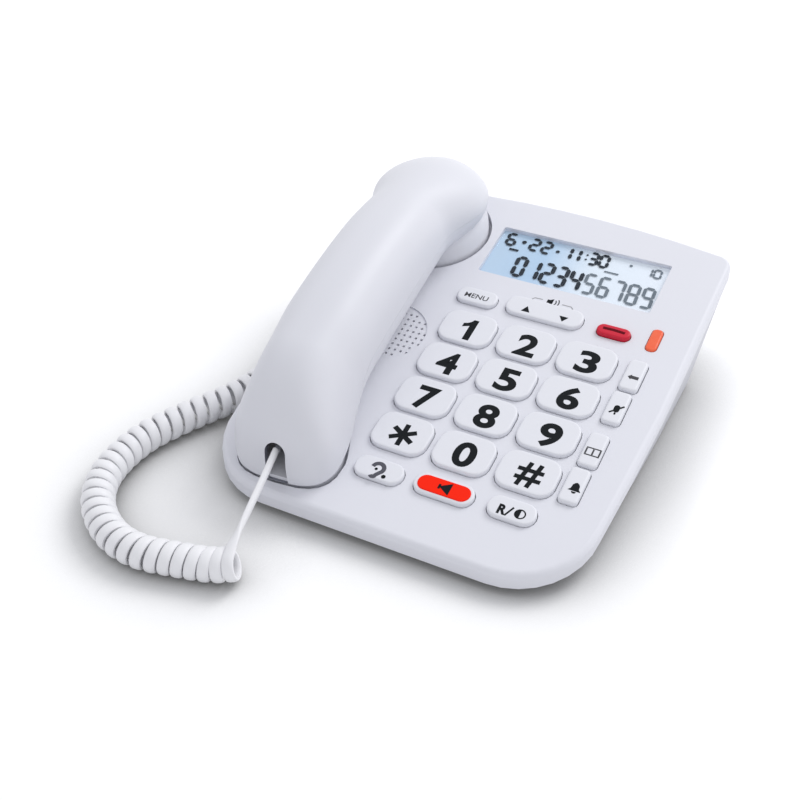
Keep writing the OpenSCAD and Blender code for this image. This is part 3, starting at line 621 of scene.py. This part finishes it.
# Each segment runs between two corners of a box one wide and two tall.
segment_places = {
    "a": (0, 2, 1, 2), "b": (1, 1, 1, 2), "c": (1, 0, 1, 1), "d": (0, 0, 1, 0),
    "e": (0, 0, 0, 1), "f": (0, 1, 0, 2), "g": (0, 1, 1, 1),
}
lit_segments = {
    "0": "abcdef", "1": "bc", "2": "abged", "3": "abgcd", "4": "fgbc",
    "5": "afgcd", "6": "afgedc", "7": "abc", "8": "abcdefg", "9": "abcdfg",
}
segment_gap = 0.08
figure_lean = -0.06


def segment_bars(text, left, foot, tall, wide, pitch, bar):
    """Seven-segment figures: each lit segment is a six-cornered bar between two corners."""
    bars = []
    for place, figure in enumerate(text):
        for segment in lit_segments[figure]:
            x0, y0, x1, y1 = segment_places[segment]
            a = np.array([left + place * pitch + x0 * wide, foot + y0 * tall / 2])
            b = np.array([left + place * pitch + x1 * wide, foot + y1 * tall / 2])
            way = (b - a) / np.linalg.norm(b - a)
            side = np.array([-way[1], way[0]]) * bar / 2
            a, b = a + way * bar * segment_gap, b - way * bar * segment_gap
            taper = way * bar / 2
            left_side = [a, a + taper + side, b - taper + side]
            corners = np.array(left_side + [b, b - taper - side, a + taper - side])
            corners[:, 0] += figure_lean * (corners[:, 1] - foot)
            bars.append(corners)
    return bars


lcd_at = (1.5, 90.4)
cell_out, ink_over_cell = -2.5, 0.38
figure_out = cell_out + ink_over_cell
dark_figure = ink("dark_figure", (0.010, 0.018, 0.028), 0.4)
# The figures 5 to 9 and the call count sit under the window's glare, so their grey ink instead of
# dark is painted reflection.
glare_grey_figure = ink("glare_grey_figure", (0.17, 0.20, 0.22), 0.4)
big_left, big_pitch = -27.4, 7.05
big = dict(foot=-12.2, tall=12.9, wide=4.5, pitch=big_pitch)
small = dict(foot=7.5, tall=8.0, wide=4.0, pitch=6.2, bar=1.7)
big_dark = segment_bars("01234", big_left, bar=2.1, **big)
big_glare_grey = segment_bars("56789", big_left + 5 * big_pitch, bar=1.6, **big)
date_row = (
    segment_bars("6", -38.6, **small)
    + segment_bars("22", -26.3, **small)
    + segment_bars("11", -8.6, **dict(small, wide=3.0, pitch=4.4, bar=1.8))
    + segment_bars("30", 3.9, **dict(small, wide=3.8, pitch=5.3))
    + [stroke([(-35.4, 4.7), (-30.6, 4.7)], 1.4), dot((-30.2, 11.6), 1.2), dot((-12.4, 10.6), 1.0)]
    + [dot((2.1, 10.0), 0.6, 8), dot((1.9, 13.2), 0.6, 8)]
)
call_count = segment_bars("10", 31.4, foot=8.8, tall=5.4, wide=3.2, pitch=4.4, bar=1.1) + [
    dot((23.8, 13.0), 0.8, 10),
    stroke([(13.2, 5.0), (20.2, 5.0)], 0.9),
]
flat_mark("big_figures_dark", "base", big_dark, lcd_at, figure_out, dark_figure)
flat_mark("big_figures_glare_grey", "base", big_glare_grey, lcd_at, figure_out, glare_grey_figure)
flat_mark("date_and_time", "base", date_row, lcd_at, figure_out, dark_figure)
flat_mark("call_count", "base", call_count, lcd_at, figure_out, glare_grey_figure)

# ---------------------------------------------------------------------------------------------
# The keys: hard caps in white ABS with rolled edges, each with its printed sign. They stand on
# the silicone membrane's domes and travel 1.2 mm; the speaker key has a red inlay.
corner_points = 7


def rounded_box(wide, tall, radius):
    """The outline of a rectangle with round corners, as four arcs."""
    x, y = wide / 2 - radius, tall / 2 - radius
    corners = (((x, y), 0), ((-x, y), 90), ((-x, -y), 180), ((x, -y), 270))
    return np.concatenate([bend(at, radius, a, a + 90, corner_points) for at, a in corners])


roll_points = 7
foot_taper, foot_band = 0.05, 0.2
crown_insets, crown_rises = np.array([0.5, 1.2]), np.array([0.02, 0.03])
least_radius = 0.3


def rolled_cap(name, body, centre, size, radius, foot, rise, roll, material):
    """A cap: its outline rises straight, rolls over a quarter circle and closes in a level top."""
    quarter = np.radians(np.linspace(0, 90, roll_points))
    rolled_in = roll * (1 - np.cos(quarter))
    rolled_up = rise - roll + roll * np.sin(quarter)
    insets = np.concatenate([[foot_taper, 0], rolled_in, roll + crown_insets])
    levels = np.concatenate([[foot, foot + foot_band], rolled_up, rise + crown_rises])
    rings = []
    for cut, level in zip(insets, levels):
        flat = rounded_box(size[0] - 2 * cut, size[1] - 2 * cut, max(radius - cut, least_radius))
        rings.append(on_pad(centre, flat[:, 0], flat[:, 1], level))
    return closed_mesh(name, rings, material, body, edge=50)


key_foot, key_rise = -2.7, 2.1
key_abs = moulded("key_abs", (0.75, 0.757, 0.80), roughness=0.36, grain=0.04, mottle=0.01)


def key_cap(node, name, centre, size, radius, material=key_abs, roll=0.9):
    """A key's cap in place of its solid."""
    piece = rolled_cap(name, node, centre, size, radius, key_foot, key_rise, roll, material)
    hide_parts(node)
    return piece


def shifted(centre, across, up):
    """A point moved across and up the keypad."""
    return (centre[0] + across, centre[1] + up)


key_ink = key_rise + 0.07
second_ink = key_ink + 0.03
pitch_across, pitch_up = 28.5, 22.5
digit_size, digit_radius = (25.6, 19.8), 6.5
sign_shift = (1.0, -1.3)
numeral_size = (9.8, 13.4)
hash_uprights = [stroke([(x - 1.1, -6.4), (x + 1.1, 6.4)], 2.0) for x in (-2.2, 2.2)]
hash_bars = [stroke([(-5.6, y), (5.6, y)], 2.0) for y in (-2.2, 2.2)]
one_outline = [
    (-0.5, -6.6), (2.6, -6.6), (2.6, 6.6), (0.3, 6.6), (-0.6, 5.0), (-2.0, 3.9),
    (-3.7, 3.3), (-3.7, 0.9), (-0.5, 2.3),
]


def star_outline(reach, half):
    """A star of six arms: the two corners of each arm's end, then the notch before the next."""
    spread, corner = math.atan(half / reach), math.hypot(reach, half)
    angles = np.radians(30 + 60 * np.arange(6))[:, None] + [-spread, spread, math.radians(30)]
    radii = np.array([corner, corner, 2 * half])
    return np.stack([radii * np.cos(angles), radii * np.sin(angles)], -1).reshape(-1, 2)


for place, sign in enumerate([*"123456789", "star", "0", "hash"]):
    key = "key_" + sign
    centre = ((place % 3 - 1) * pitch_across, (1.5 - place // 3) * pitch_up)
    printed = shifted(centre, *sign_shift)
    key_cap(key, "cap_" + sign, centre, digit_size, digit_radius)
    if sign == "1":
        flat_mark("sign_1", key, [one_outline], printed, key_ink, black_ink)
    elif sign.isdigit():
        letters("sign_" + sign, key, sign, printed, key_ink, numeral_size, black_ink, bold=0.034)
    elif sign == "star":
        flat_mark("sign_star", key, [star_outline(6.0, 1.15)], printed, key_ink, black_ink)
    else:
        flat_mark("sign_hash_uprights", key, hash_uprights, printed, key_ink, black_ink)
        flat_mark("sign_hash_bars", key, hash_bars, printed, second_ink, black_ink)

# The row over the digits: menu, the up and down rocker, and the small red key.
menu_at, rocker_at, delete_at = (-32.8, 54.4), (0, 56), (33.4, 55)
key_cap("key_menu", "cap_menu", menu_at, (19.5, 9.6), 4)
menu_sign_at = shifted(menu_at, -0.1, -0.6)
letters("sign_menu", "key_menu", "MENU", menu_sign_at, key_ink, (11.6, 3.0), grey_ink, bold=0.012)
key_cap("key_rocker", "cap_rocker", rocker_at, (37, 11.6), 5)
up_mark = [(-10.2, -3.6), (-6.0, -3.6), (-8.2, 0.2)]
down_mark = [(7.5, -0.5), (11.9, -0.5), (9.8, -3.8)]
flat_mark("sign_up_down", "key_rocker", [up_mark, down_mark], rocker_at, key_ink, black_ink)
delete_red = moulded("delete_red", (0.60, 0.014, 0.040), roughness=0.35, grain=0.02)
delete_cap = key_cap(
    "key_delete", "cap_delete", delete_at, (15.6, 6.6), 3.2, delete_red, roll=1.0
)
dark_red_ink = ink("dark_red_ink", (0.12, 0.004, 0.01))
dash = stroke([(-5.0, 0.2), (0, 0.35), (5.2, 0.0)], 1.5)
flat_mark("sign_delete", "key_delete", [dash], delete_at, key_ink, dark_red_ink)

# The column at the right: redial, mute, phone book and ringer, in a slightly slanted line.
side_column, side_slant = 49, 0.035
side_places = [(side_column + side_slant * up, up) for up in (32.7, 12.6, -12.6, -32.7)]
for number, centre in enumerate(side_places, 1):
    key_cap("key_side_%d" % number, "cap_side_%d" % number, centre, (8.4, 18.4), 2, roll=1.1)
redial_at = shifted(side_places[0], 0.4, -1.8)
mute_at = shifted(side_places[1], 0.6, -1.6)
book_at = shifted(side_places[2], 0.4, -1.8)
bell_at = shifted(side_places[3], 1.0, -1.6)
redial = [
    (-2.4, 0), (-0.8, 1.5), (-0.8, 0.9), (2.4, 0.9), (2.4, -0.9), (-0.8, -0.9), (-0.8, -1.5)
]
microphone = np.concatenate([bend((0, 1.2), 1.3, 0, 180, 8), bend((0, -0.4), 1.3, 180, 360, 8)])
microphone_stand = stroke([(0, -1.8), (0, -3.0)], 0.8)
mute_bar = stroke([(-2.5, -2.4), (2.7, 2.6)], 0.8)
book = [stroke([(-3.2, y), (3.2, y)], 0.6) for y in (-1.9, 1.9)]
book += [stroke([(x, -1.5), (x, 1.5)], 0.7) for x in (-2.9, 0, 2.9)]
bell = [
    (-2.7, -1.6), (-1.7, -0.4), (-1.5, 1.4), (-0.8, 2.4), (0, 2.8),
    (0.8, 2.4), (1.5, 1.4), (1.7, -0.4), (2.7, -1.6),
]
clapper = bend((0, -1.9), 1.0, 180, 360, 8)
flat_mark("sign_redial", "key_side_1", [redial], redial_at, key_ink, grey_ink)
flat_mark("sign_mute", "key_side_2", [microphone, microphone_stand], mute_at, key_ink, black_ink)
flat_mark("sign_mute_bar", "key_side_2", [mute_bar], mute_at, second_ink, black_ink)
flat_mark("sign_book", "key_side_3", book, book_at, key_ink, grey_ink)
flat_mark("sign_bell", "key_side_4", [bell, clapper], bell_at, key_ink, black_ink)

# The row under the digits: the ear key, the recall key, and the speaker key with its inlay, which
# is moulded in red and pressed into the cap.
boost_at, speaker_at, recall_at = (-28.7, -55), (0.3, -54), (29.6, -53.4)
key_cap("key_boost", "cap_boost", boost_at, (22, 10.8), 5)
ear_at = shifted(boost_at, 0.5, -1.2)
ear_grey = ink("ear_grey", (0.10, 0.10, 0.12))
ear_bends = bend((-0.8, 1.2), 2.5, 175, -50, 14), bend((-1.4, -2.6), 1.0, 10, -160, 6)
ear_line = np.concatenate(ear_bends)
ear_dots = [dot((-1.4, 0.6), 0.7, 10), dot((3.2, -2.0), 1.0, 10)]
flat_mark("sign_ear", "key_boost", [stroke(ear_line, 1.9)], ear_at, key_ink, ear_grey)
flat_mark("sign_ear_dots", "key_boost", ear_dots, ear_at, second_ink, black_ink)

key_cap("key_recall", "cap_recall", recall_at, (20.6, 10.6), 5)
letter_at, circle_at = shifted(recall_at, -3.4, -1.5), shifted(recall_at, 4.0, -1.1)
slash = stroke([(-1.6, -3.9), (0.6, 1.0)], 0.8)
ring = stroke(bend((0, 0), 2.1, 0, 359.9, 28), 0.6)
half_disc = bend((0, 0), 1.9, 90, 270, 12)
letters("sign_recall", "key_recall", "R", letter_at, key_ink, (3.7, 4.9), black_ink, bold=0.05)
flat_mark("sign_slash", "key_recall", [slash], recall_at, key_ink, black_ink)
flat_mark("sign_ring", "key_recall", [ring], circle_at, key_ink, black_ink)
flat_mark("sign_half", "key_recall", [half_disc], circle_at, second_ink, black_ink)

key_cap("key_speaker", "cap_speaker", speaker_at, (26.4, 10.4), 5)
inlay_foot, inlay_rise, inlay_roll = key_rise - 0.9, key_rise + 0.42, 0.35
inlay_red = moulded(
    "inlay_red", (0.95, 0.022, 0.006), roughness=0.45, grain=0.03, mottle=0.05, shine=0.06
)
red_inlay = rolled_cap(
    "red_inlay", "key_speaker", shifted(speaker_at, 0.2, -0.1), (23.2, 7.7), 3.8,
    inlay_foot, inlay_rise, inlay_roll, inlay_red,
)
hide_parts("speaker_inlay")
horn = [(-2.9, 0), (2.2, 3.1), (2.2, -3.1)]
magnet = [(-3.2, -1.2), (-2.2, -1.2), (-2.2, 1.2), (-3.2, 1.2)]
horn_at, inlay_ink = shifted(speaker_at, 0.9, -0.2), key_rise + 0.5
flat_mark("sign_speaker", "key_speaker", [horn, magnet], horn_at, inlay_ink, black_ink)

# ---------------------------------------------------------------------------------------------
# The status lamp's light guide: one clear orange acrylic bar, pressed through the deck and lit
# from below.
guide_foot, guide_rise, guide_roll = -3.8, 0.8, 0.8
lamp_orange, start = blank_material("lamp_orange")
amber = own_noise(start, 300.0).mixed((0.78, 0.11, 0.05, 1), (0.82, 0.16, 0.075, 1))
skin(
    start,
    {
        "Base Color": amber,
        "Roughness": 0.25,
        "Emission Color": amber,
        "Emission Strength": 0.08,
        "Specular IOR Level": 0.2,
    },
)
lamp_guide = rolled_cap(
    "lamp_guide", "base", (51.5, 57.3), (5, 14), 2.2,
    guide_foot, guide_rise, guide_roll, lamp_orange,
)
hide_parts("led_lens")

# ---------------------------------------------------------------------------------------------
# The handset: two shells of white ABS screwed together, an ear cup and a mouth cup that drop
# into the wells, and a notch in its end where the cord's plug goes in. Its lengths run from the
# ear cup's middle, plus towards the ear's tip and minus towards the mouth.
ear_across, ear_up = -55.6, 71.2
handset_yaw = math.radians(3)
front_tip, back_tip = 171.5, 32.6
ear_radius, waist_radius, mouth_radius = 28.2, 20.5, 23.4
arch_at, arch_top, arch_bend = -92, 50.5, 0.00159
mouth_length, mouth_power = 18, 3
shell_wall, seam_gap = 2.2, 0.05


def on_handset(x, s, w):
    """Handset coordinates in millimetres: turned on the deck about the ear cup's middle."""
    x, s, w = np.broadcast_arrays(*(np.asarray(v, float) for v in (x, s, w)))
    c, n = math.cos(handset_yaw), math.sin(handset_yaw)
    return on_deck(ear_across + x * c - s * n, ear_up + x * n + s * c, w)


def root(base, power):
    """A root of a number that is kept from falling below nought."""
    return np.clip(base, 0, None) ** (1 / power)


ear_taper = 30
mouth_flare_start, mouth_flare = 122, 38


def half_width(s):
    """Half the handset's width: an ellipse past the ear cup, a waist, and a squarish mouth end."""
    ear = ear_radius * root(1 - (np.clip(s, 0, back_tip) / back_tip) ** 2, 2)
    plain = (
        waist_radius
        + (ear_radius - waist_radius) * eased(1 + s / ear_taper)
        + (mouth_radius - waist_radius) * eased((-s - mouth_flare_start) / mouth_flare)
    )
    end = np.clip((-s - front_tip + mouth_length) / mouth_length, 0, 1)
    return np.where(s > 0, ear, plain * root(1 - end**mouth_power, mouth_power))


def tip_height(s):
    """The height at which the nearer tip ends."""
    return np.where(s > arch_at, 9.0, 1.0)


ear_fall_start, ear_fall_power = 4, 2.8
mouth_fall, mouth_fall_power = 38.5, 2.05


def crown_height(s):
    """The back's height: an arch times a cap that falls to the tip at both ends."""
    past_ear = np.clip((s + ear_fall_start) / (back_tip + ear_fall_start), 0, 1)
    past_mouth = np.clip((mouth_fall - front_tip - s) / mouth_fall, 0, 1)
    ear_cap = root(1 - past_ear**ear_fall_power, ear_fall_power)
    mouth_cap = root(1 - past_mouth**mouth_fall_power, mouth_fall_power)
    tip = tip_height(s)
    return tip + (arch_top - arch_bend * (s - arch_at) ** 2 - tip) * ear_cap * mouth_cap


grip_gap, mouth_gap = 2.5, 0.5
ear_round, mouth_round = 9, 4
belly_drop_start, belly_drop = 120, 25


def belly_height(s):
    """The underside's height: level over the deck, rounded up at the tips."""
    to_ear, to_mouth = (back_tip - s) / ear_round, (s + front_tip) / mouth_round
    e = np.clip(np.where(s > arch_at, to_ear, to_mouth), 0, 1)
    low = grip_gap + (mouth_gap - grip_gap) * eased((-s - belly_drop_start) / belly_drop)
    tip = tip_height(s)
    return tip + (low - tip) * np.sqrt(1 - (1 - e) ** 2)


seam_share, seam_sink = 0.42, 0.36
seam_sink_start, seam_sink_length = 110, 40


def seam_height(s):
    """The seam's height: a share of the way from belly to crown, which sinks at the mouth."""
    share = seam_share - seam_sink * eased((-s - seam_sink_start) / seam_sink_length)
    return belly_height(s) + share * (crown_height(s) - belly_height(s))


shell_stations, shell_columns = 170, 40
shell_middle, shell_half = (back_tip - front_tip) / 2, (back_tip + front_tip) / 2
front_power, front_depth = 2.3, 15
grip_power, ear_power, power_change, back_depth = 2.6, 1.85, 60, 28


def half_shell(name, up, material):
    """One half of the handset's case: sections of superellipse arcs, out over the outside and
    back over the inside, carried from tip to tip with the stations closest at the tips. The
    back's section is squarish over the grip and rounder over the ear."""
    spacing = np.cos(np.pi * np.arange(1, shell_stations) / shell_stations)
    s = (shell_middle - shell_half * spacing)[:, None]
    a = (np.pi * np.arange(shell_columns + 1) / shell_columns)[None]
    if up > 0:
        power = grip_power + (ear_power - grip_power) * eased(1 + s / power_change)
        top, deepest = crown_height(s), back_depth
    else:
        power = front_power
        top, deepest = belly_height(s), front_depth
    bulge = 2 / power
    rise = top - seam_height(s)
    sides = []
    for inset in (0, shell_wall):
        x = half_width(s) * (1 - inset / ear_radius) * squared(np.cos(a), bulge)
        w = seam_height(s) + rise * (1 - inset / deepest) * np.abs(np.sin(a)) ** bulge
        along = shell_middle + (s - shell_middle) * (1 - inset / shell_half)
        sides.append(on_handset(x, along, w + up * seam_gap))
    rings = np.concatenate([sides[0], sides[1][:, ::-1]], axis=1)
    return closed_mesh(name, rings, material, edge=45)


handset_abs = moulded(
    "handset_abs", (0.695, 0.70, 0.745), roughness=0.42, grain=0.07, mottle=0.01
)
back_shell = half_shell("handset_back_shell", 1, handset_abs)
front_shell = half_shell("handset_front_shell", -1, handset_abs)

# The notch for the plug is cut through both shells, and its walls are painted dark grey: painted
# shade in place of the white plastic, which lies in shadow there.
slot_across, slot_wide, slot_low, slot_mid = 1.5, 9.4, 0.8, 15.8
slot_from, slot_to = -178.0, -158.0
slot_arch = bend((0, slot_mid), slot_wide / 2, 0, 180, 24)
slot_line = np.array([(slot_wide / 2, slot_low), *slot_arch, (-slot_wide / 2, slot_low)])
# Painted shade: a dark grey that the cut passes to the notch's walls.
notch_painted_shade = moulded("notch_painted_shade", (0.16, 0.165, 0.20), roughness=0.6, shine=0.05)
slot_x, slot_w = slot_across + slot_line[:, 0], slot_line[:, 1]
notch_rings = [on_handset(slot_x, s, slot_w) for s in (slot_from, slot_to)]
notch = closed_mesh("notch", notch_rings, notch_painted_shade)
for shell in (back_shell, front_shell):
    cut = shell.modifiers.new("notch", "BOOLEAN")
    cut.operation = "DIFFERENCE"
    cut.solver = "EXACT"
    cut.material_mode = "TRANSFER"
    cut.object = notch
    bpy.context.view_layer.update()
    seen = shell.evaluated_get(bpy.context.evaluated_depsgraph_get())
    cut_mesh = bpy.data.meshes.new_from_object(seen)
    shell.modifiers.clear()
    shell.data = cut_mesh
    cut_mesh.set_sharp_from_angle(angle=math.radians(45))
    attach(shell, "handset")
bpy.data.objects.remove(notch)
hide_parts("handset_back")
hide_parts("handset_front")

# The ear cup: a shallow dish with a rounded rim, on a neck that runs up into the shell.
cup_radius, cup_drop, cup_round = 28.2, 4.3, 1.2
cup_x, cup_s = 0.6, -1.5
quarter = np.radians(np.linspace(0, 90, 6))
turn_in, turn_up = 1 - np.sin(quarter), 1 - np.cos(quarter)
cup_dish = [(0.5, 0.6 - cup_drop), (cup_radius - 3.2, -cup_drop)]
cup_rim = np.stack([cup_radius - cup_round * turn_in, -cup_drop + cup_round * turn_up], -1)
cup_neck = [(cup_radius, 4), (cup_radius - 4, 10), (12, 11)]
circle = np.linspace(0, 2 * np.pi, 96, endpoint=False)
ear_rings = [
    on_handset(cup_x + r * np.cos(circle), cup_s + r * np.sin(circle), w)
    for r, w in [*cup_dish, *cup_rim, *cup_neck]
]
ear_cup = closed_mesh("ear_cup", ear_rings, handset_abs, "handset")

# The mouth cup: it follows the shell's end, a little inside it.
cup_margin = 1.2
mouth_sides = np.array([(5.6, -139.5), (3.4, -145.0), (1.9, -150.0)])


def mouth_line(g):
    """The mouth cup's outline, g wider: tapered sides, then a superellipse end."""
    a = np.radians(np.linspace(0, 90, 22))
    end_x = (mouth_radius - cup_margin + g) * np.cos(a) ** (2 / mouth_power)
    end_reach = (mouth_length - cup_margin + g) * np.sin(a) ** (2 / mouth_power)
    end = np.stack([end_x, mouth_length - front_tip - end_reach], -1)
    side = np.stack([mouth_radius - mouth_sides[:, 0] + g, mouth_sides[:, 1] + [g, 0, 0]], -1)
    right_side = np.concatenate([side, end])
    return np.concatenate([right_side, (right_side * [-1, 1])[::-1][1:]])


mouth_top = 3.0
mouth_rim = [*zip(-turn_in, -cup_drop + turn_up), (0.0, mouth_top)]
mouth_rings = [on_handset(mouth_line(g)[:, 0], mouth_line(g)[:, 1], w) for g, w in mouth_rim]
mouth_cup = closed_mesh("mouth_cup", mouth_rings, handset_abs, "handset")

# ---------------------------------------------------------------------------------------------
# What the case hides: boards, membrane, speaker and receiver, hook switch, sockets, batteries,
# screws and feet. They are bought parts, screwed or clipped in before the case is closed.
zinc_plate, start = blank_material("zinc_plate")
skin(
    start,
    {
        "Base Color": (0.62, 0.62, 0.64, 1),
        "Metallic": 1.0,
        "Roughness": own_noise(start, 400.0, 3.0) * 0.2 + 0.25,
    },
)
board_green = moulded("board_green", (0.02, 0.14, 0.06), roughness=0.4, coat=0.3)
membrane_rubber = moulded("membrane_rubber", (0.45, 0.46, 0.48), roughness=0.7)
dark_plastic = moulded("dark_plastic", (0.03, 0.03, 0.035), roughness=0.5)
socket_plastic = moulded("socket_plastic", (0.02, 0.02, 0.025), roughness=0.5, shine=0.1)
foot_rubber = moulded("foot_rubber", (0.05, 0.05, 0.055), roughness=0.85, grain=0.3)
battery_wrap = moulded("battery_wrap", (0.55, 0.30, 0.06), roughness=0.3, coat=0.4)
inner_finishes = {
    board_green: ["main_board", "hook_board"],
    membrane_rubber: ["keypad_membrane"],
    zinc_plate: [
        "hook_spring", "case_screws", "handset_screws", "battery_contacts", "handset_weight",
    ],
    dark_plastic: [
        "hook_switch", "loudspeaker", "base_microphone", "receiver", "handset_microphone",
    ],
    socket_plastic: ["line_jack", "handset_jack", "handset_socket"],
    foot_rubber: ["feet"],
    battery_wrap: ["batteries"],
    # The battery door takes the tray's darkened colour, which is painted shade.
    tray_painted_shade_abs: ["battery_door"],
    key_abs: ["hook_plunger"],
}
for material, names in inner_finishes.items():
    for name in names:
        dress(name, material)
